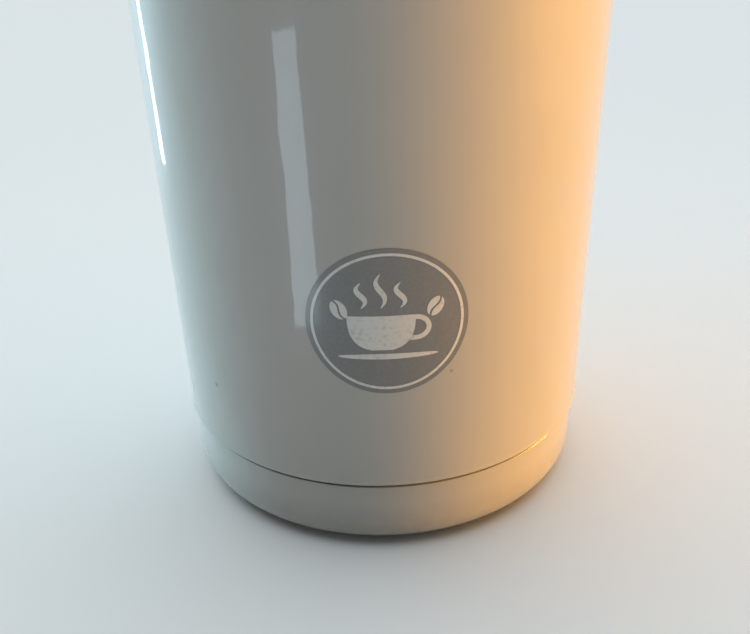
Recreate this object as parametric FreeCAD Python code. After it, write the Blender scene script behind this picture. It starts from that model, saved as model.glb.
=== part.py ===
"""Vacuum-insulated travel mug: a tapered double-walled steel vessel in a glossy base cup, closed by a
press-in lid with a hinged drinking flap.

Frame: millimetres, +Z up, the origin at the centre of the foot pad's underside. The printed front of the
vessel and the drinking side of the lid face -Y. One STEP file per piece goes to parts/.
"""

import FreeCAD
import Part

import math
import os

Vector = FreeCAD.Vector
Z_AXIS = Vector(0, 0, 1)
X_AXIS = Vector(1, 0, 0)
ORIGIN = Vector(0, 0, 0)

# ---- Driving dimensions, millimetres ----

# Vessel
RIM_HEIGHT = 158.0            # top of the steel lip
SEAM_HEIGHT = 13.0            # underside of the painted shell, where the base cup begins
SHELL_FOOT_RADIUS = 33.5      # painted shell's outer radius at the seam
WALL_SLOPE = 0.04             # growth of the shell's radius per millimetre of height
SHELL_WALL = 0.6
SHELL_EDGE_ROUND = 0.3        # bend where the shell turns in to the neck
BEAD_PROUD = 0.12             # rolled bead round the shell's lower edge
BEAD_HEIGHT = 0.4
BEAD_SLOPE_HEIGHT = 0.35
BEAD_BEND = 0.15
LINER_WALL = 0.5
VACUUM_GAP = 2.4              # radial space between shell and liner
LINER_FLOOR_HEIGHT = 11.5     # underside of the liner
LINER_FLOOR_BEND = 9.0
MOUTH_DEPTH = 23.0            # straight part of the liner, down from the rim
FLARE_DEPTH = 6.0             # liner opens out to the lip over this depth
LIP_BEND = 1.0
NECK_BEND = 0.3               # inner bend of the neck, under the seam
NECK_FOOT_HEIGHT = 5.0        # lower end of the neck, where the bottom disc is welded in
BOTTOM_DISC_WALL = 0.6
BOTTOM_SKIRT = 3.0
DIMPLE_RADIUS = 6.0           # pressed hollow round the evacuation hole
DIMPLE_DEPTH = 1.6
EVACUATION_HOLE_RADIUS = 0.8
SEAL_BEAD_RADIUS = 3.2
WELD_GAP = 0.02               # clearance of pressed and welded sheet pieces
FOIL_WALL = 0.1
FOIL_STAND_OFF = 0.05
FOIL_MARGIN = 1.5             # bare liner above and below the foil

# Getter
GETTER_RADIUS = 5.0
GETTER_HEIGHT = 2.4
GETTER_OFFSET = 16.0          # from the axis
CLIP_WIDTH = 4.0
CLIP_WALL = 0.3
CLIP_TAB = 4.0

# Base
BASE_INSET = 0.57             # base cup's top edge lies this far inside the shell
SEAM_GAP = 0.7
BASE_WALL = 1.0
BASE_CLEARANCE = 0.13         # base cup's bore round the shell's neck
BASE_FLOOR = 1.8
BASE_CORNER = 4.4
BASE_TOP_ROUND = 0.15
PAD_MARGIN = 2.55             # flat of the base between the pad and the base's corner
PAD_PROUD = 0.6               # foot pad below the base cup
PAD_RECESS = 0.8
PAD_HOLLOW_RADIUS = 12.0
PAD_HOLLOW_DEPTH = 0.5
PAD_GROOVE_DEPTH = 0.35
PAD_GROOVE_WIDTH = 1.2
PAD_GROOVE_INSETS = (9.5, 5.5)
ADHESIVE_INSET = 5.2          # adhesive ring's edge inside the neck's bore
ADHESIVE_WIDTH = 7.0
SEAM_GASKET_WIDTH = 0.3

# Lid
LID_GAP = 0.2                 # lid's underside above the lip
PLUG_DEPTH = 20.0             # plug below the rim
PLUG_CLEARANCE = 0.6          # plug to the mouth of the liner
PLUG_FLOOR = 1.8
PLUG_FLANGE = 1.7
GROOVE_DEPTH = 1.4
GROOVE_HEIGHT = 6.0
GROOVE_LIFT = 4.5             # groove above the plug's underside
GROOVE_WALL = 1.6
RUNNING_CLEARANCE = 0.05
FIN_HEIGHT = 1.5
LID_OVERHANG = 0.15           # lid's edge beyond the lip
LID_HEIGHT = 19.3             # from the lid's underside to its drinking rim
LID_SHOULDER = 7.5            # height of the widest part of the lid's side
LID_RIM_INSET = 3.0
LID_RIM_WIDTH = 2.6
DECK_DROP = 8.0               # deck below the drinking rim
DECK_WALL = 2.0
LID_SKIRT_WALL = 2.1
FOAM_CLEARANCE = 0.15

# Drinking flap
SIP_MARGIN = 3.33             # drinking tube inside the plug's bore
SIP_STRAIGHT = 8.5            # sip hole's straight length
SIP_RADIUS = 3.25
TUBE_WALL = 1.2
TUBE_CLEARANCE = 0.15
ORING_SECTION = 1.4
VENT_MARGIN = 7.6             # between the drinking tube and the air tube
VENT_RADIUS = 1.25
HINGE_OFFSET = 6.0            # hinge axis behind the vessel's axis
KNUCKLE_RADIUS = 3.0
KNUCKLE_CLEARANCE = 0.6       # knuckle above the deck
KNUCKLE_LENGTH = 15.2
PIN_RADIUS = 1.0
LUG_WIDTH = 3.0
LUG_GAP = 0.25                # side play of the flap between its lugs
LUG_ROOT = 8.0                # lug's length along the deck
LUG_FOOT = 0.8                # height of the lug's wider foot
FLAP_SIDE_MARGIN = 1.6        # flap beyond the stopper's flange, at each side
FLAP_FRONT_MARGIN = 1.45
FLAP_LIFT = 0.7               # flap's underside above the deck
FLAP_WALL = 2.6
FLAP_EDGE_ROUND = 0.6
TAB_LENGTH = 2.4              # raised thumb ledge at the tip
TAB_HEIGHT = 2.2
RIDGE_COUNT = 3
RIDGE_PITCH = 1.7
RIDGE_HEIGHT = 0.5
RIDGE_WIDTH = 0.8
RIDGE_LENGTH = 9.0
STOPPER_PLAY = 0.1            # stopper's side clearance in the sip hole
STOPPER_DRAFT = 0.45
STOPPER_DEPTH = 1.9
STOPPER_FLANGE = 1.4
STOPPER_FLANGE_WALL = 0.5
STUD_RADIUS = 1.5
STUD_HEIGHT = 1.6


# ---- Derived places ----

def shell_radius(height):
    """Outer radius of the painted shell's cone at a height."""
    return SHELL_FOOT_RADIUS + WALL_SLOPE * (height - SEAM_HEIGHT)


def liner_outer(height):
    """Outer radius of the liner where it follows the shell's cone."""
    return shell_radius(height) - SHELL_WALL - VACUUM_GAP


shell_top = RIM_HEIGHT - LINER_WALL
mouth_foot = RIM_HEIGHT - MOUTH_DEPTH
mouth_top = RIM_HEIGHT - FLARE_DEPTH
mouth_outer = liner_outer(mouth_foot)
mouth_radius = mouth_outer - LINER_WALL

base_top = SEAM_HEIGHT - SEAM_GAP
base_radius = SHELL_FOOT_RADIUS - BASE_INSET
base_bore = base_radius - BASE_WALL
base_floor_top = PAD_PROUD + PAD_RECESS + BASE_FLOOR
base_foot_radius = base_radius - WALL_SLOPE * (base_top - PAD_PROUD)
pad_radius = base_foot_radius - BASE_CORNER - PAD_MARGIN
neck_radius = base_bore - BASE_CLEARANCE
neck_bore = neck_radius - SHELL_WALL

lid_seat = RIM_HEIGHT + LID_GAP
plug_foot = RIM_HEIGHT - PLUG_DEPTH
plug_radius = mouth_radius - PLUG_CLEARANCE
groove_radius = plug_radius - GROOVE_DEPTH
groove_foot = plug_foot + GROOVE_LIFT
plug_bore = groove_radius - GROOVE_WALL
plug_floor_top = plug_foot + PLUG_FLOOR
lid_radius = shell_radius(RIM_HEIGHT) + LID_OVERHANG
flange_radius = lid_radius - LID_SKIRT_WALL
flange_top = lid_seat + PLUG_FLANGE
lid_top = lid_seat + LID_HEIGHT
deck_top = lid_top - DECK_DROP
deck_foot = deck_top - DECK_WALL
sip_offset = plug_bore - SIP_RADIUS - TUBE_WALL - SIP_MARGIN
vent_offset = sip_offset - SIP_RADIUS - VENT_MARGIN - VENT_RADIUS - 2 * TUBE_WALL
hinge_height = deck_top + KNUCKLE_RADIUS + KNUCKLE_CLEARANCE
flap_foot = deck_top + FLAP_LIFT
flap_top = flap_foot + FLAP_WALL
flap_tip_radius = SIP_STRAIGHT / 2 + SIP_RADIUS + STOPPER_FLANGE + FLAP_SIDE_MARGIN
flap_tip_offset = sip_offset + SIP_RADIUS + STOPPER_FLANGE + FLAP_FRONT_MARGIN


# ---- Shared shapes ----

def unit(a, b):
    """Unit vector from a to b, two (r, z) pairs."""
    length = math.hypot(b[0] - a[0], b[1] - a[1])
    return (b[0] - a[0]) / length, (b[1] - a[1]) / length


def outline_edges(corners, closed):
    """Straight edges through (r, z, round) corners in the XZ plane, joined by tangent arcs."""
    count = len(corners)
    entries = []
    for i, (r, z, bend) in enumerate(corners):
        if bend <= 0 or (not closed and i in (0, count - 1)):
            entries.append(((r, z), None, (r, z)))
            continue
        before = unit((r, z), corners[i - 1][:2])
        after = unit((r, z), corners[(i + 1) % count][:2])
        half = math.acos(max(-1.0, min(1.0, before[0] * after[0] + before[1] * after[1]))) / 2
        setback = bend / math.tan(half)
        centre_way = unit((0, 0), (before[0] + after[0], before[1] + after[1]))
        to_arc = bend / math.sin(half) - bend
        start = (r + before[0] * setback, z + before[1] * setback)
        end = (r + after[0] * setback, z + after[1] * setback)
        entries.append((start, (r + centre_way[0] * to_arc, z + centre_way[1] * to_arc), end))
    edges = []
    for i, (start, middle, end) in enumerate(entries):
        if middle:
            points = [Vector(p[0], 0, p[1]) for p in (start, middle, end)]
            edges.append(Part.Arc(*points).toShape())
        if i + 1 < count or closed:
            following = entries[(i + 1) % count][0]
            if math.hypot(following[0] - end[0], following[1] - end[1]) > 1e-6:
                edges.append(Part.LineSegment(Vector(end[0], 0, end[1]),
                                              Vector(following[0], 0, following[1])).toShape())
    return edges


def turned(corners):
    """Solid of revolution about Z of a closed (r, z, round) outline."""
    face = Part.Face(Part.Wire(outline_edges(corners, True)))
    return face.revolve(ORIGIN, Z_AXIS, 360)


def offset_path(path, wall):
    """The (r, z, bend) path moved sideways by wall, to the left of its direction."""
    moved = []
    for i, (r, z, bend) in enumerate(path):
        ways = []
        if i > 0:
            ways.append(unit(path[i - 1][:2], (r, z)))
        if i + 1 < len(path):
            ways.append(unit((r, z), path[i + 1][:2]))
        normals = [(-w[1], w[0]) for w in ways]
        if len(normals) == 1:
            moved.append((r + normals[0][0] * wall, z + normals[0][1] * wall, 0))
            continue
        total = (normals[0][0] + normals[1][0], normals[0][1] + normals[1][1])
        scale = 2 * wall / (total[0] ** 2 + total[1] ** 2)
        turn = ways[0][0] * ways[1][1] - ways[0][1] * ways[1][0]
        inner = bend - wall if turn > 0 else bend + wall
        moved.append((r + total[0] * scale, z + total[1] * scale, max(inner, 0.05) if bend else 0))
    return moved


def pressed(path, wall):
    """Revolved sheet of even wall: path is its outer face, and the metal lies to the left of it."""
    return turned(list(path) + offset_path(path, wall)[::-1])


def ring(inner, outer, foot, height):
    """Plain ring about Z."""
    return turned([(inner, foot, 0), (outer, foot, 0), (outer, foot + height, 0), (inner, foot + height, 0)])


def post(radius, foot, height, x=0.0, y=0.0):
    """Upright cylinder."""
    return Part.makeCylinder(radius, height, Vector(x, y, foot), Z_AXIS)


def bar(radius, length, y, z):
    """Cylinder lying along X, centred on X = 0."""
    return Part.makeCylinder(radius, length, Vector(-length / 2, y, z), X_AXIS)


def slot_wire(straight, radius, y, z):
    """Outline of a slot with round ends, long in X, centred at (0, y, z)."""
    half = straight / 2
    ends = [Vector(-half, y - radius, z), Vector(half, y - radius, z),
            Vector(half, y + radius, z), Vector(-half, y + radius, z)]
    return Part.Wire([
        Part.LineSegment(ends[0], ends[1]).toShape(),
        Part.Arc(ends[1], Vector(half + radius, y, z), ends[2]).toShape(),
        Part.LineSegment(ends[2], ends[3]).toShape(),
        Part.Arc(ends[3], Vector(-half - radius, y, z), ends[0]).toShape(),
    ])


def slot_post(straight, radius, y, foot, height):
    """Upright block with a slot-shaped section."""
    return Part.Face(slot_wire(straight, radius, y, foot)).extrude(Vector(0, 0, height))


def slot_taper(straight, foot_radius, top_radius, y, foot, height):
    """Upright block with a slot-shaped section that grows from foot_radius to top_radius."""
    return Part.makeLoft([slot_wire(straight, foot_radius, y, foot),
                          slot_wire(straight, top_radius, y, foot + height)], True)


def slot_ring(straight, radius, section, y, z):
    """O-ring of round section whose centreline is a slot."""
    half = straight / 2
    pieces = []
    for side in (-1, 1):
        angle = 90 if side < 0 else -90
        bend = Part.makeTorus(radius, section / 2, Vector(0, 0, 0), Z_AXIS, 0, 360, 180)
        bend.rotate(ORIGIN, Z_AXIS, angle)
        bend.translate(Vector(side * half, y, z))
        pieces.append(bend)
        pieces.append(Part.makeCylinder(section / 2, straight, Vector(-half, y + side * radius, z), X_AXIS))
    return pieces[0].multiFuse(pieces[1:]).removeSplitter()


def round_edges(shape, radius, wanted):
    """Fillets every edge whose centre passes the test."""
    edges = [e for e in shape.Edges if wanted(e)]
    return shape.makeFillet(radius, edges)


# ---- Vessel ----

def outer_shell():
    """Painted cone of steel sheet with a rolled bead at the seam, where it turns in to a narrower neck."""
    bead_top = SEAM_HEIGHT + BEAD_HEIGHT
    outside = [
        (neck_radius, NECK_FOOT_HEIGHT, 0),
        (neck_radius, SEAM_HEIGHT, NECK_BEND),
        (SHELL_FOOT_RADIUS + BEAD_PROUD, SEAM_HEIGHT, SHELL_EDGE_ROUND),
        (SHELL_FOOT_RADIUS + BEAD_PROUD, bead_top, BEAD_BEND),
        (shell_radius(bead_top + BEAD_SLOPE_HEIGHT), bead_top + BEAD_SLOPE_HEIGHT, BEAD_BEND),
        (shell_radius(shell_top), shell_top - 2 * WELD_GAP, 0),
    ]
    return pressed(outside, SHELL_WALL)


def inner_liner():
    """Drawn steel cup: round floor, cone, straight mouth, flare, and a lip folded over the shell's edge."""
    def throat(height):
        return shell_radius(height) - SHELL_WALL - WELD_GAP

    cone_foot = LINER_FLOOR_HEIGHT
    flare_top = mouth_top + throat(mouth_top) - mouth_outer
    outside = [
        (0, cone_foot, 0),
        (liner_outer(cone_foot), cone_foot, LINER_FLOOR_BEND),
        (mouth_outer, mouth_foot, 0),
        (mouth_outer, mouth_top, LIP_BEND),
        (throat(flare_top), flare_top, LIP_BEND),
        (throat(shell_top), shell_top, 0.05),
        (shell_radius(shell_top), shell_top, 0),
    ]
    inside = offset_path(outside, LINER_WALL)
    corners = outside + inside[::-1]
    corners[-1] = (0, cone_foot + LINER_WALL, 0)
    return turned(corners)


def insulation_foil():
    """Foil wrapped round the liner's cone, in the vacuum."""
    foot = LINER_FLOOR_HEIGHT + LINER_FLOOR_BEND + FOIL_MARGIN
    top = mouth_foot - FOIL_MARGIN
    inner = [(liner_outer(h) + FOIL_STAND_OFF, h, 0) for h in (foot, top)]
    outer = [(r + FOIL_WALL, h, 0) for r, h, _ in inner[::-1]]
    return turned(inner + outer)


def bottom_disc():
    """Pressed disc that closes the shell's neck, with a dimple round the evacuation hole."""
    rim = neck_bore - WELD_GAP
    underside = [
        (EVACUATION_HOLE_RADIUS, NECK_FOOT_HEIGHT + DIMPLE_DEPTH, 0),
        (DIMPLE_RADIUS - DIMPLE_DEPTH, NECK_FOOT_HEIGHT + DIMPLE_DEPTH, BOTTOM_DISC_WALL),
        (DIMPLE_RADIUS, NECK_FOOT_HEIGHT, BOTTOM_DISC_WALL),
        (rim, NECK_FOOT_HEIGHT, 1.5 * BOTTOM_DISC_WALL),
        (rim, NECK_FOOT_HEIGHT + BOTTOM_SKIRT, 0),
    ]
    return pressed(underside, BOTTOM_DISC_WALL)


def vacuum_seal_bead():
    """Bead of solder glass melted into the dimple, over the evacuation hole."""
    top = NECK_FOOT_HEIGHT + DIMPLE_DEPTH
    return turned([(0, top, 0), (SEAL_BEAD_RADIUS, top, 0),
                   (SEAL_BEAD_RADIUS, top - DIMPLE_DEPTH * 0.75, DIMPLE_DEPTH * 0.6),
                   (0, top - DIMPLE_DEPTH * 0.75, 0)])


def getter_pellet():
    """Gas-absorbing tablet that keeps the vacuum."""
    foot = NECK_FOOT_HEIGHT + BOTTOM_DISC_WALL
    return post(GETTER_RADIUS, foot, GETTER_HEIGHT, GETTER_OFFSET)


def getter_clip():
    """Steel strap over the tablet, spot-welded to the bottom disc at both tabs."""
    foot = NECK_FOOT_HEIGHT + BOTTOM_DISC_WALL
    inside = GETTER_RADIUS + WELD_GAP
    bridge = foot + GETTER_HEIGHT + WELD_GAP
    outside = inside + CLIP_WALL
    section = [
        (-outside - CLIP_TAB, foot), (-inside, foot), (-inside, bridge), (inside, bridge),
        (inside, foot), (outside + CLIP_TAB, foot), (outside + CLIP_TAB, foot + CLIP_WALL),
        (outside, foot + CLIP_WALL), (outside, bridge + CLIP_WALL), (-outside, bridge + CLIP_WALL),
        (-outside, foot + CLIP_WALL), (-outside - CLIP_TAB, foot + CLIP_WALL),
    ]
    points = [Vector(GETTER_OFFSET - CLIP_WIDTH / 2, y, z) for y, z in section]
    face = Part.Face(Part.makePolygon(points + points[:1]))
    return face.extrude(Vector(CLIP_WIDTH, 0, 0))


# ---- Base ----

def base_cup():
    """Glossy cup glued over the neck, with a recess underneath for the foot pad."""
    recess = PAD_PROUD + PAD_RECESS
    return turned([
        (0, recess, 0), (pad_radius + WELD_GAP, recess, 0), (pad_radius + WELD_GAP, PAD_PROUD, 0),
        (base_foot_radius, PAD_PROUD, BASE_CORNER), (base_radius, base_top, BASE_TOP_ROUND),
        (base_bore, base_top, 0), (base_bore, base_floor_top, BASE_WALL), (0, base_floor_top, 0),
    ])


def adhesive_ring():
    """Silicone adhesive that holds the base cup to the bottom disc."""
    outer = neck_bore - ADHESIVE_INSET
    return ring(outer - ADHESIVE_WIDTH, outer, base_floor_top, NECK_FOOT_HEIGHT - base_floor_top)


def seam_gasket():
    """Dark ring seen in the seam between the shell and the base cup."""
    inner = neck_radius + NECK_BEND + WELD_GAP
    return ring(inner, inner + SEAM_GASKET_WIDTH, base_top, SEAM_GAP)


def foot_pad():
    """Non-slip disc under the base, hollow in the middle, with two grooves."""
    top = PAD_PROUD + PAD_RECESS
    pad = turned([(0, PAD_HOLLOW_DEPTH, 0), (PAD_HOLLOW_RADIUS, PAD_HOLLOW_DEPTH, 0),
                  (PAD_HOLLOW_RADIUS, 0, 0), (pad_radius, 0, PAD_PROUD / 2),
                  (pad_radius, top, 0), (0, top, 0)])
    for inset in PAD_GROOVE_INSETS:
        inner = pad_radius - inset
        pad = pad.cut(ring(inner, inner + PAD_GROOVE_WIDTH, -1, 1 + PAD_GROOVE_DEPTH))
    return pad


# ---- Lid ----

def tube_outer(radius):
    """Outer radius of a tube round a hole of this radius."""
    return radius + TUBE_WALL


def lid_cover():
    """Top of the lid: side, drinking rim, sunk deck, two tubes down through the plug, and the hinge lugs."""
    rim_outer = lid_radius - LID_RIM_INSET
    rim_inner = rim_outer - LID_RIM_WIDTH
    cavity = plug_bore + LID_SKIRT_WALL
    cover = turned([
        (0, deck_foot, 0), (cavity, deck_foot, 1.0), (cavity, flange_top, 0),
        (flange_radius + WELD_GAP, flange_top, 0), (flange_radius + WELD_GAP, lid_seat, 0),
        (lid_radius, lid_seat, 0.6), (lid_radius - 0.5, lid_seat + LID_SHOULDER, 6.0),
        (rim_outer, lid_top, 1.1), (rim_inner, lid_top, 1.1),
        (rim_inner - 1.2, deck_top, 3.0), (0, deck_top, 0),
    ])
    lugs = []
    lug_inner = KNUCKLE_LENGTH / 2 + LUG_GAP
    for side in (-1, 1):
        x = lug_inner if side > 0 else -lug_inner - LUG_WIDTH
        root = deck_top - DECK_WALL / 2
        foot = Part.makeBox(LUG_WIDTH, LUG_ROOT, DECK_WALL / 2 + LUG_FOOT,
                            Vector(x, HINGE_OFFSET - LUG_ROOT / 2, root))
        web = Part.makeBox(LUG_WIDTH, 2 * KNUCKLE_RADIUS, hinge_height - root,
                           Vector(x, HINGE_OFFSET - KNUCKLE_RADIUS, root))
        eye = Part.makeCylinder(KNUCKLE_RADIUS, LUG_WIDTH, Vector(x, HINGE_OFFSET, hinge_height), X_AXIS)
        lugs.append(foot.fuse([web, eye]).removeSplitter())
    tubes = [
        slot_post(SIP_STRAIGHT, tube_outer(SIP_RADIUS), -sip_offset, plug_foot, deck_foot + 0.5 - plug_foot),
        post(tube_outer(VENT_RADIUS), plug_foot, deck_foot + 0.5 - plug_foot, 0, -vent_offset),
    ]
    through = lid_top - plug_foot
    cover = cover.fuse(lugs + tubes)
    cuts = [
        slot_post(SIP_STRAIGHT, SIP_RADIUS, -sip_offset, plug_foot - 1, through),
        post(VENT_RADIUS, plug_foot - 1, through, 0, -vent_offset),
        bar(PIN_RADIUS, lid_radius, HINGE_OFFSET, hinge_height),
    ]
    return cover.cut(cuts).removeSplitter()


def lid_plug():
    """Cup under the cover that fills the mouth, with a groove for the main gasket."""
    plug = turned([
        (0, plug_foot, 0), (plug_radius, plug_foot, 1.6), (plug_radius, groove_foot, 0),
        (groove_radius, groove_foot, 0), (groove_radius, groove_foot + GROOVE_HEIGHT, 0),
        (plug_radius, groove_foot + GROOVE_HEIGHT, 0), (plug_radius, lid_seat, 0),
        (flange_radius, lid_seat, 0), (flange_radius, flange_top, 0), (plug_bore, flange_top, 0),
        (plug_bore, plug_floor_top, 1.6), (0, plug_floor_top, 0),
    ])
    return plug.cut([
        slot_post(SIP_STRAIGHT, tube_outer(SIP_RADIUS) + WELD_GAP, -sip_offset,
                  plug_foot - 1, PLUG_FLOOR + 2),
        post(tube_outer(VENT_RADIUS) + WELD_GAP, plug_foot - 1, PLUG_FLOOR + 2, 0, -vent_offset),
    ])


def lid_gasket():
    """Silicone ring in the plug's groove with two fins that wipe the mouth."""
    inner = groove_radius + RUNNING_CLEARANCE
    outer = mouth_radius - RUNNING_CLEARANCE
    body = plug_radius - 0.1
    foot = groove_foot + RUNNING_CLEARANCE
    top = groove_foot + GROOVE_HEIGHT - RUNNING_CLEARANCE
    fins = []
    for fin_foot in (foot + 0.6, top - 0.6 - FIN_HEIGHT):
        fins += [(body, fin_foot, 0), (outer, fin_foot + FIN_HEIGHT * 0.5, 0),
                 (outer, fin_foot + FIN_HEIGHT * 0.8, 0), (body, fin_foot + FIN_HEIGHT, 0)]
    return turned([(inner, foot, 0), (body, foot, 0)] + fins + [(body, top, 0), (inner, top, 0)])


def lid_foam():
    """Foam disc in the lid's cavity, with holes for both tubes and room for their O-rings."""
    foot = plug_floor_top + FOAM_CLEARANCE
    top = deck_foot - FOAM_CLEARANCE
    foam = post(plug_bore - FOAM_CLEARANCE, foot, top - foot)
    ring_room = ORING_SECTION + 2 * FOAM_CLEARANCE
    sip = tube_outer(SIP_RADIUS)
    vent = tube_outer(VENT_RADIUS)
    bend_room = ring(plug_bore - 2.5, plug_bore + 1, foot - 1, 2.8)
    return foam.cut([
        slot_post(SIP_STRAIGHT, sip + FOAM_CLEARANCE, -sip_offset, foot - 1, top - foot + 2),
        slot_post(SIP_STRAIGHT, sip + ring_room, -sip_offset, foot - 1, ring_room + 1),
        post(vent + FOAM_CLEARANCE, foot - 1, top - foot + 2, 0, -vent_offset),
        post(vent + ring_room, foot - 1, ring_room + 1, 0, -vent_offset),
        bend_room,
    ])


def sip_tube_oring():
    """O-ring round the drinking tube, on the plug's floor."""
    radius = tube_outer(SIP_RADIUS) + WELD_GAP + ORING_SECTION / 2
    return slot_ring(SIP_STRAIGHT, radius, ORING_SECTION, -sip_offset, plug_floor_top + ORING_SECTION / 2)


def vent_tube_oring():
    """O-ring round the air tube, on the plug's floor."""
    radius = tube_outer(VENT_RADIUS) + WELD_GAP + ORING_SECTION / 2
    return Part.makeTorus(radius, ORING_SECTION / 2,
                          Vector(0, -vent_offset, plug_floor_top + ORING_SECTION / 2), Z_AXIS)


# ---- Drinking flap ----

def flap_plate():
    """Plate of the flap: a neck from the hinge that widens to a round end over the sip hole."""
    half_neck = KNUCKLE_LENGTH / 2
    tip_centre = -flap_tip_offset + flap_tip_radius
    shoulder = HINGE_OFFSET - LUG_ROOT / 2 - 1.0
    points = [
        Vector(-half_neck, HINGE_OFFSET, flap_foot), Vector(-half_neck, shoulder, flap_foot),
        Vector(-flap_tip_radius, shoulder - flap_tip_radius / 2, flap_foot),
        Vector(-flap_tip_radius, tip_centre, flap_foot), Vector(0, -flap_tip_offset, flap_foot),
        Vector(flap_tip_radius, tip_centre, flap_foot),
        Vector(flap_tip_radius, shoulder - flap_tip_radius / 2, flap_foot),
        Vector(half_neck, shoulder, flap_foot), Vector(half_neck, HINGE_OFFSET, flap_foot),
    ]
    edges = [Part.LineSegment(points[i], points[i + 1]).toShape() for i in range(3)]
    edges.append(Part.Arc(points[3], points[4], points[5]).toShape())
    edges += [Part.LineSegment(points[i], points[(i + 1) % 9]).toShape() for i in range(5, 9)]
    return Part.Face(Part.Wire(edges)).extrude(Vector(0, 0, FLAP_WALL))


def drinking_flap():
    """Hinged flap with a knuckle, a raised thumb ledge, grip ridges and two sockets for the stoppers."""
    def on_top_outline(edge):
        box = edge.BoundBox
        return abs(box.ZMin - flap_top) < 1e-6 and box.ZLength < 1e-6 and box.YMin < HINGE_OFFSET - 0.1

    plate = round_edges(flap_plate(), FLAP_EDGE_ROUND, on_top_outline)
    tip_centre = -flap_tip_offset + flap_tip_radius
    disc = post(flap_tip_radius - FLAP_EDGE_ROUND, flap_top - 0.5, TAB_HEIGHT + 0.5, 0, tip_centre)
    front = Part.makeBox(4 * flap_tip_radius, TAB_LENGTH + 1, TAB_HEIGHT + 2,
                         Vector(-2 * flap_tip_radius, -flap_tip_offset - 1, flap_top - 1))
    ledge = disc.common(front)
    flap = plate.fuse([ledge, bar(KNUCKLE_RADIUS, KNUCKLE_LENGTH, HINGE_OFFSET, hinge_height)])
    ridges = []
    for i in range(RIDGE_COUNT):
        y = -flap_tip_offset + TAB_LENGTH + RIDGE_PITCH * (i + 1)
        ridges.append(Part.makeBox(RIDGE_LENGTH, RIDGE_WIDTH, RIDGE_HEIGHT + 0.5,
                                   Vector(-RIDGE_LENGTH / 2, y - RIDGE_WIDTH / 2, flap_top - 0.5)))
    flap = flap.fuse(ridges)
    return flap.cut([
        bar(PIN_RADIUS + RUNNING_CLEARANCE, KNUCKLE_LENGTH + 2, HINGE_OFFSET, hinge_height),
        post(STUD_RADIUS + WELD_GAP, flap_foot - 1, STUD_HEIGHT + WELD_GAP + 1, 0, -sip_offset),
        post(STUD_RADIUS + WELD_GAP, flap_foot - 1, STUD_HEIGHT + WELD_GAP + 1, 0, -vent_offset),
    ]).removeSplitter()


def sip_stopper():
    """Silicone stopper that closes the sip hole: flange, tapered nose, and a stud into the flap."""
    flange_foot = flap_foot - STOPPER_FLANGE_WALL
    nose_radius = SIP_RADIUS - STOPPER_PLAY
    nose = slot_taper(SIP_STRAIGHT, nose_radius - STOPPER_DRAFT, nose_radius, -sip_offset,
                      deck_top - STOPPER_DEPTH, STOPPER_DEPTH + FLAP_LIFT - STOPPER_FLANGE_WALL)
    flange = slot_post(SIP_STRAIGHT, SIP_RADIUS + STOPPER_FLANGE, -sip_offset,
                       flange_foot, STOPPER_FLANGE_WALL)
    stud = post(STUD_RADIUS, flap_foot, STUD_HEIGHT, 0, -sip_offset)
    return flange.fuse([nose, stud]).removeSplitter()


def vent_stopper():
    """Small silicone stopper for the air hole."""
    flange_foot = flap_foot - STOPPER_FLANGE_WALL
    nose_radius = VENT_RADIUS - STOPPER_PLAY
    nose_height = 1.0 + flange_foot - deck_top
    nose_foot = Vector(0, -vent_offset, deck_top - 1.0)
    nose = Part.makeCone(nose_radius - 0.3, nose_radius, nose_height, nose_foot, Z_AXIS)
    flange = post(VENT_RADIUS + STOPPER_FLANGE, flange_foot, STOPPER_FLANGE_WALL, 0, -vent_offset)
    stud = post(STUD_RADIUS, flap_foot, STUD_HEIGHT, 0, -vent_offset)
    return flange.fuse([nose, stud]).removeSplitter()


def hinge_pin():
    """Steel pin pressed through both lugs."""
    length = KNUCKLE_LENGTH + 2 * (LUG_GAP + LUG_WIDTH)
    return bar(PIN_RADIUS, length, HINGE_OFFSET, hinge_height)


PIECES = (
    outer_shell, inner_liner, insulation_foil, bottom_disc, vacuum_seal_bead, getter_pellet, getter_clip,
    base_cup, adhesive_ring, seam_gasket, foot_pad,
    lid_cover, lid_plug, lid_gasket, lid_foam, sip_tube_oring, vent_tube_oring, hinge_pin,
    drinking_flap, sip_stopper, vent_stopper,
)

os.makedirs("parts", exist_ok=True)
for make in PIECES:
    shape = make()
    print(f"{make.__name__:18s} {len(shape.Solids)} solid, {shape.Volume / 1000:8.3f} cm3,"
          f" valid {shape.isValid()}")
    shape.exportStep(f"parts/{make.__name__}.step")
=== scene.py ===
"""Looks of the insulated travel mug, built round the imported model: metres, +Z up, front towards -Y."""

import math

import bmesh
import bpy
from mathutils import Matrix, Vector


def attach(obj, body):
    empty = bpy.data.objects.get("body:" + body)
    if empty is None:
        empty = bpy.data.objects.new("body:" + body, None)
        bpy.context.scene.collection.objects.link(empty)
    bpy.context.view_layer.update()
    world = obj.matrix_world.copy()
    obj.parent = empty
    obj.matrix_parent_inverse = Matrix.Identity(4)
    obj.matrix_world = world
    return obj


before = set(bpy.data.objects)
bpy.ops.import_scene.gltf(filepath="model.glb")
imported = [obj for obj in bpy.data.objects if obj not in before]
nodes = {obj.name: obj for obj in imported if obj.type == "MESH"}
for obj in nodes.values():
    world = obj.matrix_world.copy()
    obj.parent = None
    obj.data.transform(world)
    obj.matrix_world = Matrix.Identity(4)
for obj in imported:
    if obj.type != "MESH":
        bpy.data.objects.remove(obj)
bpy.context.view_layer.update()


# ---- Camera ----
# Close to the front of the mug and above its middle, tipped a little to one side, looking down at the lower
# half of the body.

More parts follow.
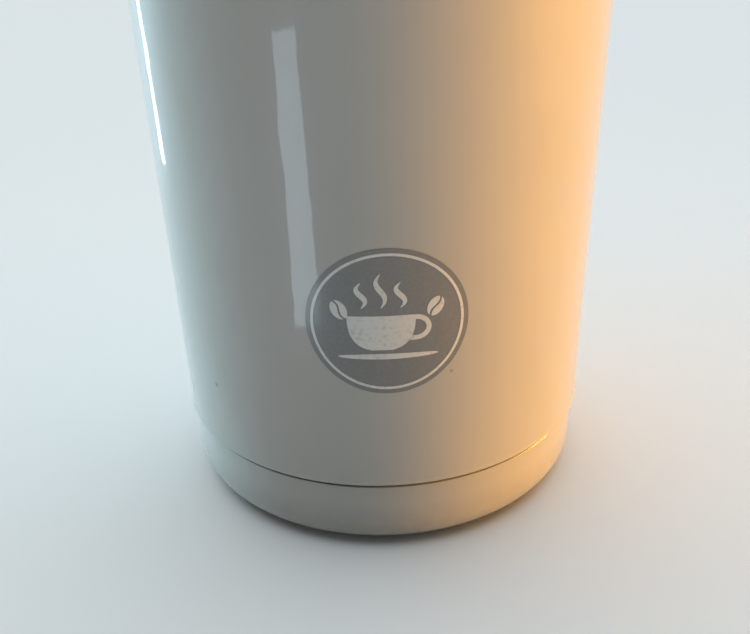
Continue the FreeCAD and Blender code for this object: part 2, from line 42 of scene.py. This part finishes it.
CAMERA_PLACE = (0, -0.1877, 0.1246)
PAN, DOWN, TIP = -0.006, 0.490, -0.035  # radians
camera_data = bpy.data.cameras.new("camera")
camera_data.lens = 59.18
camera_data.sensor_width = 36.0
camera_data.clip_start = 0.01
camera = bpy.data.objects.new("camera", camera_data)
bpy.context.scene.collection.objects.link(camera)
ahead = Vector((math.sin(PAN) * math.cos(DOWN), math.cos(PAN) * math.cos(DOWN), -math.sin(DOWN)))
level = Vector((math.cos(PAN), -math.sin(PAN), 0))
upright = level.cross(ahead)
across = level * math.cos(TIP) + upright * math.sin(TIP)
upward = upright * math.cos(TIP) - level * math.sin(TIP)
camera.matrix_world = (
    Matrix.Translation(CAMERA_PLACE) @ Matrix((across, upward, -ahead)).transposed().to_4x4()
)
bpy.context.scene.camera = camera


# ---- Inner liner ----
# The drinking cup inside the vacuum wall: 0.5 mm stainless steel, deep drawn and spun, with its lip folded
# over the shell's edge and seam-welded there. Spinning leaves fine lines round it, under a satin polish.

MM = 0.001

def hex_colour(code):
    """An sRGB hex colour as the linear RGBA that the shaders take."""
    parts = [int(code[i : i + 2], 16) / 255 for i in (0, 2, 4)]
    return (*(c / 12.92 if c <= 0.04045 else ((c + 0.055) / 1.055) ** 2.4 for c in parts), 1.0)


def add_node(tree, kind, inputs=(), **settings):
    """Adds a node, sets its properties, and sets or links its inputs."""
    made = tree.nodes.new(kind)
    for name, value in settings.items():
        setattr(made, name, value)
    for name, value in dict(inputs).items():
        if isinstance(value, bpy.types.NodeSocket):
            tree.links.new(value, made.inputs[name])
        else:
            made.inputs[name].default_value = value
    return made


def start_material(name, **finish):
    """A material of one Principled shader. Returns it, its tree, the shader and the place in millimetres."""
    material = bpy.data.materials.new(name)
    material.use_nodes = True
    tree = material.node_tree
    shader = tree.nodes["Principled BSDF"]
    for socket, value in finish.items():
        shader.inputs[socket.replace("_", " ")].default_value = value
    material.diffuse_color = finish["Base_Color"]
    place = add_node(tree, "ShaderNodeTexCoord").outputs["Object"]
    place = add_node(tree, "ShaderNodeVectorMath", {0: place, 1: (1000, 1000, 1000)}, operation="MULTIPLY")
    return material, tree, shader, place.outputs[0]


def dress(node, material):
    """Gives a CAD node its finish."""
    for slot in nodes[node].material_slots:
        slot.material = material


def turned_lines(tree, place, pitch):
    """Noise drawn out into lines round the mug's axis, at this pitch in millimetres."""
    split = add_node(tree, "ShaderNodeSeparateXYZ", {0: place}).outputs
    angle = add_node(tree, "ShaderNodeMath", {0: split[1], 1: split[0]}, operation="ARCTAN2").outputs[0]
    flat = add_node(tree, "ShaderNodeCombineXYZ", {0: split[0], 1: split[1]}).outputs[0]
    radius = add_node(tree, "ShaderNodeVectorMath", {0: flat}, operation="LENGTH").outputs["Value"]
    run = add_node(tree, "ShaderNodeMath", {0: radius, 1: split[2]}, operation="ADD").outputs[0]
    lines = add_node(tree, "ShaderNodeMath", {0: run, 1: 1 / pitch}, operation="MULTIPLY").outputs[0]
    warped = add_node(tree, "ShaderNodeCombineXYZ", {0: angle, 1: lines}).outputs[0]
    return add_node(tree, "ShaderNodeTexNoise", {"Vector": warped, "Scale": 1.0, "Detail": 4.0}).outputs[0]


# Spun and electropolished 18/8 stainless steel: bright, a little warm, with soft streaks across the light.
# The polishing lines are about 0.1 mm apart; they are drawn at 0.35 mm, so that they show.
spun_steel, tree, shader, place = start_material(
    "spun_stainless_steel", Base_Color=hex_colour("E4E2DE"), Metallic=1.0, Roughness=0.42
)
lines = turned_lines(tree, place, 0.35)
cloud = add_node(tree, "ShaderNodeTexNoise", {"Vector": place, "Scale": 0.06, "Detail": 2.0}).outputs[0]
streaks = add_node(tree, "ShaderNodeMath", {0: lines, 1: cloud}, operation="ADD").outputs[0]
rough = add_node(tree, "ShaderNodeMapRange", {"Value": streaks, 1: 0.6, 2: 1.4, 3: 0.34, 4: 0.46}).outputs[0]
tree.links.new(rough, shader.inputs["Roughness"])
lined = add_node(tree, "ShaderNodeBump", {"Height": lines, "Strength": 1.0, "Distance": 0.003 * MM})
tree.links.new(lined.outputs[0], shader.inputs["Normal"])
dress("inner_liner", spun_steel)


# ---- Insulation foil, in the vacuum ----
# One wrap of thin aluminium foil round the liner, spot-taped before the shell goes on. Bright, with the soft
# creases that foil takes when it is wrapped by hand.

wrapped_foil, tree, shader, place = start_material(
    "wrapped_aluminium_foil", Base_Color=hex_colour("E4E5E6"), Metallic=1.0, Roughness=0.18
)
creases = add_node(
    tree, "ShaderNodeTexVoronoi", {"Vector": place, "Scale": 1 / 6.0}, feature="DISTANCE_TO_EDGE"
)
creased = add_node(
    tree, "ShaderNodeBump", {"Height": creases.outputs[0], "Strength": 0.6, "Distance": 0.1 * MM}
)
tree.links.new(creased.outputs[0], shader.inputs["Normal"])
dress("insulation_foil", wrapped_foil)


# ---- Bottom disc, hinge pin and getter clip ----
# Pressed from plain cold-rolled stainless sheet and welded into the shell's neck; the clip straps the getter
# down. Rolled sheet is an even, cloudy grey with faint lines one way.

rolled_steel, tree, shader, place = start_material(
    "rolled_stainless_sheet", Base_Color=hex_colour("BDBCB9"), Metallic=1.0, Roughness=0.34
)
drawn_out = add_node(tree, "ShaderNodeVectorMath", {0: place, 1: (0.05, 2.5, 2.5)}, operation="MULTIPLY")
grain = add_node(tree, "ShaderNodeTexNoise", {"Vector": drawn_out.outputs[0], "Scale": 1.0, "Detail": 3.0})
rough = add_node(tree, "ShaderNodeMapRange", {"Value": grain.outputs[0], 1: 0.3, 2: 0.7, 3: 0.28, 4: 0.42})
tree.links.new(rough.outputs[0], shader.inputs["Roughness"])
grained = add_node(
    tree, "ShaderNodeBump", {"Height": grain.outputs[0], "Strength": 1.0, "Distance": 0.002 * MM}
)
tree.links.new(grained.outputs[0], shader.inputs["Normal"])
for piece in ("bottom_disc", "getter_clip"):
    dress(piece, rolled_steel)

# The hinge pin is centreless-ground rod: brighter, with lines round it.
ground_rod, tree, shader, place = start_material(
    "ground_steel_rod", Base_Color=hex_colour("CFCECB"), Metallic=1.0, Roughness=0.22
)
stretched = add_node(tree, "ShaderNodeVectorMath", {0: place, 1: (6, 0.4, 0.4)}, operation="MULTIPLY")
rings = add_node(tree, "ShaderNodeTexNoise", {"Vector": stretched.outputs[0], "Scale": 1.0, "Detail": 2.0})
ringed = add_node(
    tree, "ShaderNodeBump", {"Height": rings.outputs[0], "Strength": 1.0, "Distance": 0.002 * MM}
)
tree.links.new(ringed.outputs[0], shader.inputs["Normal"])
dress("hinge_pin", ground_rod)


# ---- Getter pellet and vacuum seal bead ----
# The getter is a pressed tablet of zirconium alloy powder; the bead is solder glass melted over the
# evacuation hole. One is dark and grainy, the other dark, smooth and glossy.

pressed_powder, tree, shader, place = start_material(
    "pressed_getter_powder", Base_Color=hex_colour("5C5B5D"), Metallic=0.6, Roughness=0.7
)
grit = add_node(tree, "ShaderNodeTexVoronoi", {"Vector": place, "Scale": 1 / 0.3})
gritty = add_node(tree, "ShaderNodeBump", {"Height": grit.outputs[0], "Strength": 0.8, "Distance": 0.05 * MM})
tree.links.new(gritty.outputs[0], shader.inputs["Normal"])
dress("getter_pellet", pressed_powder)

solder_glass, tree, shader, place = start_material(
    "fused_solder_glass", Base_Color=hex_colour("3A4044"), Roughness=0.08, IOR=1.7
)
flow = add_node(tree, "ShaderNodeTexNoise", {"Vector": place, "Scale": 0.5, "Detail": 1.0})
flowed = add_node(tree, "ShaderNodeBump", {"Height": flow.outputs[0], "Strength": 0.4, "Distance": 0.1 * MM})
tree.links.new(flowed.outputs[0], shader.inputs["Normal"])
dress("vacuum_seal_bead", solder_glass)


# ---- Outer shell and base cup ----
# The cone that the hand holds and the cup glued under it, both pressed steel sprayed with the same
# pearl lacquer and a clear coat, then baked. The coat is mirror-smooth but for a faint orange peel.


def pearl_lacquer(name, foot_shade_depth):
    """Cloudy pearl lacquer under clear coat, with orange peel, dust nibs, and painted shade towards the foot.
    """
    finish, tree, shader, place = start_material(
        name,
        Base_Color=hex_colour("A5A29B"),
        Roughness=0.36,
        Specular_IOR_Level=0.3,
        IOR=1.5,
        Coat_Weight=1.0,
        Coat_Roughness=0.05,
        Coat_IOR=1.5,
    )
    cloud = add_node(tree, "ShaderNodeTexNoise", {"Vector": place, "Scale": 1 / 22, "Detail": 3.0}).outputs[0]
    pearl = add_node(tree, "ShaderNodeMix", {0: cloud, 6: hex_colour("A09D96"), 7: hex_colour("AAA7A0")},
                     data_type="RGBA")
    # Dust nibs: one in six of the 9 mm cells holds a dark speck about 0.6 mm across.
    cells = add_node(tree, "ShaderNodeTexVoronoi", {"Vector": place, "Scale": 1 / 9, "Randomness": 1.0})
    chance = add_node(tree, "ShaderNodeSeparateColor", {0: cells.outputs["Color"]}).outputs[0]
    chosen = add_node(tree, "ShaderNodeMath", {0: chance, 1: 0.16}, operation="LESS_THAN").outputs[0]
    away = cells.outputs["Distance"]
    near = add_node(tree, "ShaderNodeMapRange", {"Value": away, 1: 0.025, 2: 0.055, 3: 1, 4: 0})
    nib = add_node(tree, "ShaderNodeMath", {0: chosen, 1: near.outputs[0]}, operation="MULTIPLY").outputs[0]
    nib = add_node(tree, "ShaderNodeMath", {0: nib, 1: 0.75}, operation="MULTIPLY").outputs[0]
    specked = add_node(tree, "ShaderNodeMix", {0: nib, 6: pearl.outputs[2], 7: hex_colour("6E675C")},
                       data_type="RGBA")
    # Painted shade: the colour is darkened in patches over the lowest 9 mm, standing for the shade where the
    # base curves under towards the floor.
    height = add_node(tree, "ShaderNodeSeparateXYZ", {0: place}).outputs[2]
    shade_patches = add_node(tree, "ShaderNodeTexNoise", {"Vector": place, "Scale": 0.35, "Detail": 5.0}).outputs[0]
    low = add_node(tree, "ShaderNodeMapRange", {"Value": height, 1: 0.5, 2: 9.0, 3: foot_shade_depth, 4: 0.0})
    painted_shade_mask = add_node(tree, "ShaderNodeMath", {0: low.outputs[0], 1: shade_patches}, operation="MULTIPLY").outputs[0]
    shaded_colour = add_node(tree, "ShaderNodeMix", {0: painted_shade_mask, 6: specked.outputs[2], 7: hex_colour("6B6459")},
                      data_type="RGBA")
    tree.links.new(shaded_colour.outputs[2], shader.inputs["Base Color"])
    rub = add_node(tree, "ShaderNodeTexNoise", {"Vector": place, "Scale": 0.12, "Detail": 6.0}).outputs[0]
    rough = add_node(tree, "ShaderNodeMapRange", {"Value": rub, 1: 0.3, 2: 0.7, 3: 0.30, 4: 0.44}).outputs[0]
    tree.links.new(rough, shader.inputs["Roughness"])
    peel = add_node(tree, "ShaderNodeTexNoise", {"Vector": place, "Scale": 1 / 1.8, "Detail": 1.0}).outputs[0]
    peeled = add_node(tree, "ShaderNodeBump", {"Height": peel, "Strength": 1.0, "Distance": 0.006 * MM})
    sag = add_node(tree, "ShaderNodeTexNoise", {"Vector": place, "Scale": 1 / 14, "Detail": 2.0}).outputs[0]
    sagged = add_node(
        tree,
        "ShaderNodeBump",
        {"Height": sag, "Strength": 1.0, "Distance": 0.12 * MM, "Normal": peeled.outputs[0]},
    )
    tree.links.new(sagged.outputs[0], shader.inputs["Normal"])
    tree.links.new(sagged.outputs[0], shader.inputs["Coat Normal"])
    return finish


dress("outer_shell", pearl_lacquer("pearl_lacquer_shell", 0.0))
# The base cup gets the painted shade towards its foot at 0.9; the shell gets none.
dress("base_cup", pearl_lacquer("pearl_lacquer_base", 0.9))


# ---- Adhesive ring ----
# A bead of neutral-cure silicone that holds the base cup to the bottom disc: milky, soft and faintly rippled.

cured_silicone, tree, shader, place = start_material(
    "cured_silicone_adhesive", Base_Color=hex_colour("DCDBD5"), Roughness=0.45, IOR=1.41
)
ripple = add_node(tree, "ShaderNodeTexNoise", {"Vector": place, "Scale": 0.8, "Detail": 2.0})
rippled = add_node(
    tree, "ShaderNodeBump", {"Height": ripple.outputs[0], "Strength": 0.5, "Distance": 0.2 * MM}
)
tree.links.new(rippled.outputs[0], shader.inputs["Normal"])
dress("adhesive_ring", cured_silicone)


# ---- Seam gasket and foot pad ----
# The thin ring in the seam and the non-slip disc glued into the base's recess: black silicone rubber, moulded
# in a bead-blasted tool, so it is dull with a fine even tooth, and it picks up a little dust.

black_rubber, tree, shader, place = start_material(
    "moulded_black_silicone", Base_Color=hex_colour("2B2B2C"), Roughness=0.68, IOR=1.42
)
tooth = add_node(tree, "ShaderNodeTexNoise", {"Vector": place, "Scale": 1 / 0.25, "Detail": 2.0}).outputs[0]
dust = add_node(tree, "ShaderNodeTexNoise", {"Vector": place, "Scale": 0.25, "Detail": 6.0}).outputs[0]
dusty = add_node(tree, "ShaderNodeMapRange", {"Value": dust, 1: 0.45, 2: 0.8, 3: 0.0, 4: 0.35}).outputs[0]
tone = add_node(tree, "ShaderNodeMix", {0: dusty, 6: hex_colour("272728"), 7: hex_colour("55534F")},
                data_type="RGBA")
tree.links.new(tone.outputs[2], shader.inputs["Base Color"])
toothed = add_node(tree, "ShaderNodeBump", {"Height": tooth, "Strength": 0.6, "Distance": 0.02 * MM})
tree.links.new(toothed.outputs[0], shader.inputs["Normal"])
for piece in ("seam_gasket", "foot_pad"):
    dress(piece, black_rubber)


# ---- Printed badge ----
# A round pad print on the front of the shell: a dark grey ink disc, and over it a plain motif of a steaming
# cup with two coffee beans in silver-grey ink. Each ink film is a few hundredths of a millimetre thick.

CONE_FOOT_RADIUS = 33.5  # at the seam, in millimetres
CONE_FOOT_HEIGHT = 13.0
CONE_SLOPE = 0.04
BADGE_HEIGHT = 41.9
BADGE_TURN = 0.024  # radians from straight ahead, towards +X
BADGE_RADIUS = 11.85
INK_FILM = 0.03


def on_shell(along, up, proud):
    """The place on the shell of a point of the badge's drawing, in millimetres from the badge's middle."""
    height = BADGE_HEIGHT + up
    radius = CONE_FOOT_RADIUS + CONE_SLOPE * (height - CONE_FOOT_HEIGHT)
    turn = BADGE_TURN + along / radius
    return Vector((math.sin(turn) * (radius + proud), -math.cos(turn) * (radius + proud), height)) * MM


def ink_film(name, strips, proud):
    """A thin closed film on the shell. Each strip is a list of rows of points, all rows of one length."""
    mesh = bmesh.new()
    for strip in strips:
        rows = []
        for lift in (proud, proud + INK_FILM):
            rows.append([[mesh.verts.new(on_shell(x, y, lift)) for x, y in row] for row in strip])
        under, over = rows
        last_row, last = len(strip) - 1, len(strip[0]) - 1
        for i in range(last_row):
            for j in range(last):
                mesh.faces.new((over[i][j], over[i][j + 1], over[i + 1][j + 1], over[i + 1][j]))
                mesh.faces.new((under[i][j], under[i + 1][j], under[i + 1][j + 1], under[i][j + 1]))
        rim = [(0, j) for j in range(last)] + [(i, last) for i in range(last_row)]
        rim += [(last_row, last - j) for j in range(last)] + [(last_row - i, 0) for i in range(last_row)]
        for k, (i, j) in enumerate(rim):
            m, n = rim[(k + 1) % len(rim)]
            mesh.faces.new((under[i][j], under[m][n], over[m][n], over[i][j]))
    bmesh.ops.remove_doubles(mesh, verts=mesh.verts, dist=1e-7)
    bmesh.ops.dissolve_degenerate(mesh, edges=mesh.edges, dist=1e-8)
    bmesh.ops.recalc_face_normals(mesh, faces=mesh.faces)
    data = bpy.data.meshes.new(name)
    mesh.to_mesh(data)
    mesh.free()
    film = bpy.data.objects.new(name, data)
    bpy.context.scene.collection.objects.link(film)
    return film


def stroke(path, widths, columns=2):
    """Rows of points across a line that follows a path, with its width at each point."""
    rows = []
    for i, (x, y) in enumerate(path):
        before, after = path[max(i - 1, 0)], path[min(i + 1, len(path) - 1)]
        run = math.hypot(after[0] - before[0], after[1] - before[1])
        side = (-(after[1] - before[1]) / run, (after[0] - before[0]) / run)
        shares = [(k / columns - 0.5) * widths[i] for k in range(columns + 1)]
        rows.append([(x + side[0] * s, y + side[1] * s) for s in shares])
    return rows


def disc_rows(radius, count=32):
    """Rows of points that fill a disc."""
    rows = []
    for i in range(count + 1):
        y = -radius * math.cos(math.pi * i / count)
        half = max(math.sqrt(max(radius * radius - y * y, 0)), 0.002)
        rows.append([(half * (2 * j / count - 1), y) for j in range(count + 1)])
    return rows


# Pad-printing ink, two-part epoxy: a thin satin film that still shows the gloss of the coat under it.
grey_ink, tree, shader, place = start_material(
    "dark_grey_pad_ink", Base_Color=hex_colour("6E6E6C"), Roughness=0.34, IOR=1.5, Coat_Weight=0.6,
    Coat_Roughness=0.12
)
mottle = add_node(tree, "ShaderNodeTexNoise", {"Vector": place, "Scale": 1 / 0.5, "Detail": 4.0}).outputs[0]
ink_tone = add_node(tree, "ShaderNodeMix", {0: mottle, 6: hex_colour("656563"), 7: hex_colour("7A7A78")},
                    data_type="RGBA")
tree.links.new(ink_tone.outputs[2], shader.inputs["Base Color"])
tacky = add_node(tree, "ShaderNodeBump", {"Height": mottle, "Strength": 0.5, "Distance": 0.006 * MM})
tree.links.new(tacky.outputs[0], shader.inputs["Normal"])

badge = ink_film("badge_ground", [disc_rows(BADGE_RADIUS, 48)], 0.02)
badge.data.materials.append(grey_ink)
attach(badge, "vessel")

silver_ink, tree, shader, place = start_material(
    "silver_grey_pad_ink", Base_Color=hex_colour("CDCCC8"), Roughness=0.36, IOR=1.5, Coat_Weight=0.5,
    Coat_Roughness=0.15
)
wear = add_node(tree, "ShaderNodeTexNoise", {"Vector": place, "Scale": 1 / 0.6, "Detail": 5.0}).outputs[0]
worn = add_node(tree, "ShaderNodeMapRange", {"Value": wear, 1: 0.52, 2: 0.75, 3: 0.0, 4: 0.7}).outputs[0]
ink_tone = add_node(tree, "ShaderNodeMix", {0: worn, 6: hex_colour("CDCCC8"), 7: hex_colour("A3A29F")},
                    data_type="RGBA")
tree.links.new(ink_tone.outputs[2], shader.inputs["Base Color"])
tacky = add_node(tree, "ShaderNodeBump", {"Height": wear, "Strength": 0.5, "Distance": 0.006 * MM})
tree.links.new(tacky.outputs[0], shader.inputs["Normal"])

motif = []
# A thin line just inside the disc's edge.
circle = [(10.9 * math.sin(a), 10.9 * math.cos(a)) for a in (2 * math.pi * i / 96 for i in range(97))]
motif.append(stroke(circle, [0.42] * 97))
# The cup: a bowl with straight upper sides, its handle and its saucer.
bowl = []
for i in range(17):
    t = i / 16
    y = -4.4 + 5.6 * t
    half = 4.3 * (1 - (1 - t) ** 2.6) ** 0.42 + 0.6 if t > 0 else 1.6
    bowl.append([(-0.9 + half * (2 * j / 12 - 1), y) for j in range(13)])
motif.append(bowl)
handle = [(4.0 + 1.9 * math.sin(a), -0.9 - 1.7 * math.cos(a)) for a in (math.pi * i / 20 for i in range(21))]
motif.append(stroke([(3.0, -2.6)] + handle + [(3.6, 0.8)], [0.75] * 23))
saucer = [(-7.2 + 14.4 * i / 24, -5.5) for i in range(25)]
motif.append(stroke(saucer, [0.16 + 0.75 * math.sin(math.pi * i / 24) ** 0.5 for i in range(25)]))
# Three wisps of steam that thin out to their ends.
for x, foot, tall in ((-3.7, 2.5, 4.0), (-0.9, 2.5, 5.4), (1.9, 2.5, 4.0)):
    wisp = [(x + 0.62 * math.sin(2 * math.pi * i / 24), foot + tall * i / 24) for i in range(25)]
    motif.append(stroke(wisp, [0.12 + 0.7 * math.sin(math.pi * i / 24) for i in range(25)]))
# Two coffee beans beside the steam, each split by the bent crease down its middle.
BEAN_HALF_LENGTH = 1.64
BEAN_HALF_WIDTH = 1.12
CREASE_BEND = 0.22
CREASE_HALF_WIDTH = 0.15


def leaned(x, y, middle, lean):
    """A bean's point, turned by its lean and moved to its middle."""
    return (
        middle[0] + x * math.cos(lean) - y * math.sin(lean),
        middle[1] + x * math.sin(lean) + y * math.cos(lean),
    )


for middle, lean in (((-6.9, 2.2), 0.5), ((6.9, 2.2), -0.5)):
    for side in (-1, 1):
        half_bean = []
        for i in range(13):
            y = -1.62 * math.cos(math.pi * (i + 0.15) / 12.3)
            edge = BEAN_HALF_WIDTH * math.sqrt(max(1 - (y / BEAN_HALF_LENGTH) ** 2, 0))
            crease = CREASE_BEND * math.sin(math.pi * y / BEAN_HALF_LENGTH) + side * CREASE_HALF_WIDTH
            outer = side * max(edge, 0.02)
            row = [outer] * 5
            if side * (outer - crease) > 0:
                row = [crease + (outer - crease) * k / 4 for k in range(5)]
            half_bean.append([leaned(x, y, middle, lean) for x in row])
        motif.append(half_bean)
emblem = ink_film("badge_motif", motif, 0.02 + INK_FILM)
emblem.data.materials.append(silver_ink)
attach(emblem, "vessel")


# ---- Lid cover and plug ----
# Two black polypropylene mouldings, snapped and spin-welded together. The tool is spark-eroded to a fine
# texture, so the skin is satin with a tiny tooth, polished a little where hands and lips rub it.

black_pp, tree, shader, place = start_material(
    "textured_black_polypropylene", Base_Color=hex_colour("262628"), Roughness=0.46, IOR=1.49
)
tooth = add_node(tree, "ShaderNodeTexNoise", {"Vector": place, "Scale": 1 / 0.22, "Detail": 2.0}).outputs[0]
rub = add_node(tree, "ShaderNodeTexNoise", {"Vector": place, "Scale": 0.1, "Detail": 5.0}).outputs[0]
rough = add_node(tree, "ShaderNodeMapRange", {"Value": rub, 1: 0.3, 2: 0.7, 3: 0.38, 4: 0.54}).outputs[0]
tree.links.new(rough, shader.inputs["Roughness"])
tone = add_node(tree, "ShaderNodeMix", {0: rub, 6: hex_colour("232325"), 7: hex_colour("2C2C2E")},
                data_type="RGBA")
tree.links.new(tone.outputs[2], shader.inputs["Base Color"])
toothed = add_node(tree, "ShaderNodeBump", {"Height": tooth, "Strength": 0.7, "Distance": 0.012 * MM})
tree.links.new(toothed.outputs[0], shader.inputs["Normal"])
for piece in ("lid_cover", "lid_plug"):
    dress(piece, black_pp)


# ---- Lid foam ----
# A disc of moulded polypropylene bead foam that insulates the lid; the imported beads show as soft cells.

bead_foam, tree, shader, place = start_material(
    "moulded_bead_foam", Base_Color=hex_colour("ECEBE6"), Roughness=0.8, IOR=1.3
)
beads = add_node(
    tree, "ShaderNodeTexVoronoi", {"Vector": place, "Scale": 1 / 2.5}, feature="DISTANCE_TO_EDGE"
)
beaded = add_node(tree, "ShaderNodeBump", {"Height": beads.outputs[0], "Strength": 0.7, "Distance": 0.3 * MM})
tree.links.new(beaded.outputs[0], shader.inputs["Normal"])
dress("lid_foam", bead_foam)


# ---- Gasket, O-rings and stoppers ----
# Compression-moulded natural silicone, pressed into grooves and sockets by hand. It is a cloudy grey-white,
# slightly soft in its sheen, and it holds a little lint.

natural_silicone, tree, shader, place = start_material(
    "moulded_natural_silicone", Base_Color=hex_colour("CBCAC5"), Roughness=0.42, IOR=1.41
)
haze = add_node(tree, "ShaderNodeTexNoise", {"Vector": place, "Scale": 0.4, "Detail": 4.0}).outputs[0]
tone = add_node(tree, "ShaderNodeMix", {0: haze, 6: hex_colour("C2C1BB"), 7: hex_colour("D5D4D0")},
                data_type="RGBA")
tree.links.new(tone.outputs[2], shader.inputs["Base Color"])
rough = add_node(tree, "ShaderNodeMapRange", {"Value": haze, 1: 0.3, 2: 0.7, 3: 0.36, 4: 0.5}).outputs[0]
tree.links.new(rough, shader.inputs["Roughness"])
skin = add_node(tree, "ShaderNodeTexNoise", {"Vector": place, "Scale": 1 / 0.3, "Detail": 2.0}).outputs[0]
skinned = add_node(tree, "ShaderNodeBump", {"Height": skin, "Strength": 0.5, "Distance": 0.006 * MM})
tree.links.new(skinned.outputs[0], shader.inputs["Normal"])
for piece in ("lid_gasket", "sip_tube_oring", "vent_tube_oring", "sip_stopper", "vent_stopper"):
    dress(piece, natural_silicone)


# ---- Drinking flap ----
# One polypropylene moulding in a polished tool, snapped over the hinge pin. It is glossier than the cover,
# with faint flow marks from the gate and fine rubbing scratches.

polished_pp, tree, shader, place = start_material(
    "polished_black_polypropylene", Base_Color=hex_colour("242427"), Roughness=0.26, IOR=1.49
)
flow = add_node(tree, "ShaderNodeTexNoise", {"Vector": place, "Scale": 0.15, "Detail": 4.0}).outputs[0]
rough = add_node(tree, "ShaderNodeMapRange", {"Value": flow, 1: 0.3, 2: 0.7, 3: 0.25, 4: 0.31}).outputs[0]
tree.links.new(rough, shader.inputs["Roughness"])
drawn_out = add_node(tree, "ShaderNodeVectorMath", {0: place, 1: (3.0, 0.25, 3.0)}, operation="MULTIPLY")
scuffs = add_node(tree, "ShaderNodeTexNoise", {"Vector": drawn_out.outputs[0], "Scale": 1.0, "Detail": 4.0})
scuffed = add_node(
    tree, "ShaderNodeBump", {"Height": scuffs.outputs[0], "Strength": 0.4, "Distance": 0.006 * MM}
)
tree.links.new(scuffed.outputs[0], shader.inputs["Normal"])
dress("drinking_flap", polished_pp)


# ---- Studio ----
# A plain pale floor under soft light: a cool softbox behind on the left, a warm one on the right, a wide even
# ceiling, and two narrow strips that draw upright lines of light on the lacquer.

floor_data = bpy.data.meshes.new("floor")
HALF_FLOOR = 4
corners = [(-HALF_FLOOR, -HALF_FLOOR, 0), (HALF_FLOOR, -HALF_FLOOR, 0)]
corners += [(HALF_FLOOR, HALF_FLOOR, 0), (-HALF_FLOOR, HALF_FLOOR, 0)]
floor_data.from_pydata(corners, [], [(0, 1, 2, 3)])
floor = bpy.data.objects.new("floor", floor_data)
bpy.context.scene.collection.objects.link(floor)
matt_paper, tree, shader, place = start_material(
    "matt_background_paper", Base_Color=hex_colour("F4F4F2"), Roughness=0.9, Specular_IOR_Level=0.1
)
pulp = add_node(tree, "ShaderNodeTexNoise", {"Vector": place, "Scale": 0.5, "Detail": 3.0})
pulpy = add_node(tree, "ShaderNodeBump", {"Height": pulp.outputs[0], "Strength": 0.1, "Distance": 0.05 * MM})
tree.links.new(pulpy.outputs[0], shader.inputs["Normal"])
floor_data.materials.append(matt_paper)

# Flags keep these lamps off the paper, so that it stays plain.
flagged = bpy.data.collections.new("flagged_from_lamps")
flagged.objects.link(floor)
flagged.collection_objects[0].light_linking.link_state = "EXCLUDE"
for name, stand, aim, width, height, spread, power, colour in (
    ("cool_softbox", (-1.30, 1.09, 0.26), (0, 0, 0.10), 1.20, 0.46, 50, 7.0, "ACE8FF"),
    ("cool_strip", (-0.135, 0.092, 0.040), (-0.03, 0.0, 0.060), 0.012, 0.075, 120, 0.012, "C8EAFF"),
    ("warm_softbox", (1.75, 0.10, 0.20), (0, 0, 0.10), 1.20, 0.36, 50, 10.0, "FFB120"),
    ("front_strip", (-0.051, -0.081, 0.034), (-0.010, -0.034, 0.062), 0.017, 0.056, 120, 0.0035, "D8EEFF"),
):
    lamp_data = bpy.data.lights.new(name, "AREA")
    lamp_data.shape = "RECTANGLE"
    lamp_data.size, lamp_data.size_y = width, height
    lamp_data.spread = math.radians(spread)
    lamp_data.energy = power
    lamp_data.color = hex_colour(colour)[:3]
    lamp = bpy.data.objects.new(name, lamp_data)
    bpy.context.scene.collection.objects.link(lamp)
    lamp.location = stand
    lamp.rotation_mode = "QUATERNION"
    lamp.rotation_quaternion = (Vector(aim) - Vector(stand)).to_track_quat("-Z", "Y")
    lamp.visible_camera = False
    lamp.light_linking.receiver_collection = flagged
    lamp.visible_diffuse = not name.endswith("strip")  # the strips only draw lines on gloss

# The ceiling of the studio: one wide even light, leaning a little from behind.
ceiling_data = bpy.data.lights.new("ceiling", "SUN")
ceiling_data.energy = 2.5
ceiling_data.color = hex_colour("EFF9FF")[:3]
ceiling_data.angle = math.radians(100)
ceiling = bpy.data.objects.new("ceiling", ceiling_data)
bpy.context.scene.collection.objects.link(ceiling)
ceiling.rotation_euler = (math.radians(-20), 0, 0)

# The room round the studio: dim where it lights the mug, pale where it is seen behind the floor.
room = bpy.data.worlds.new("pale_room")
bpy.context.scene.world = room
room.use_nodes = True
seen = add_node(room.node_tree, "ShaderNodeLightPath").outputs["Is Camera Ray"]
brightness = add_node(room.node_tree, "ShaderNodeMapRange", {"Value": seen, 3: 0.18, 4: 1.0}).outputs[0]
backdrop = room.node_tree.nodes["Background"]
backdrop.inputs["Color"].default_value = hex_colour("DDE4E7")
room.node_tree.links.new(brightness, backdrop.inputs["Strength"])
bpy.context.scene.view_settings.view_transform = "Standard"
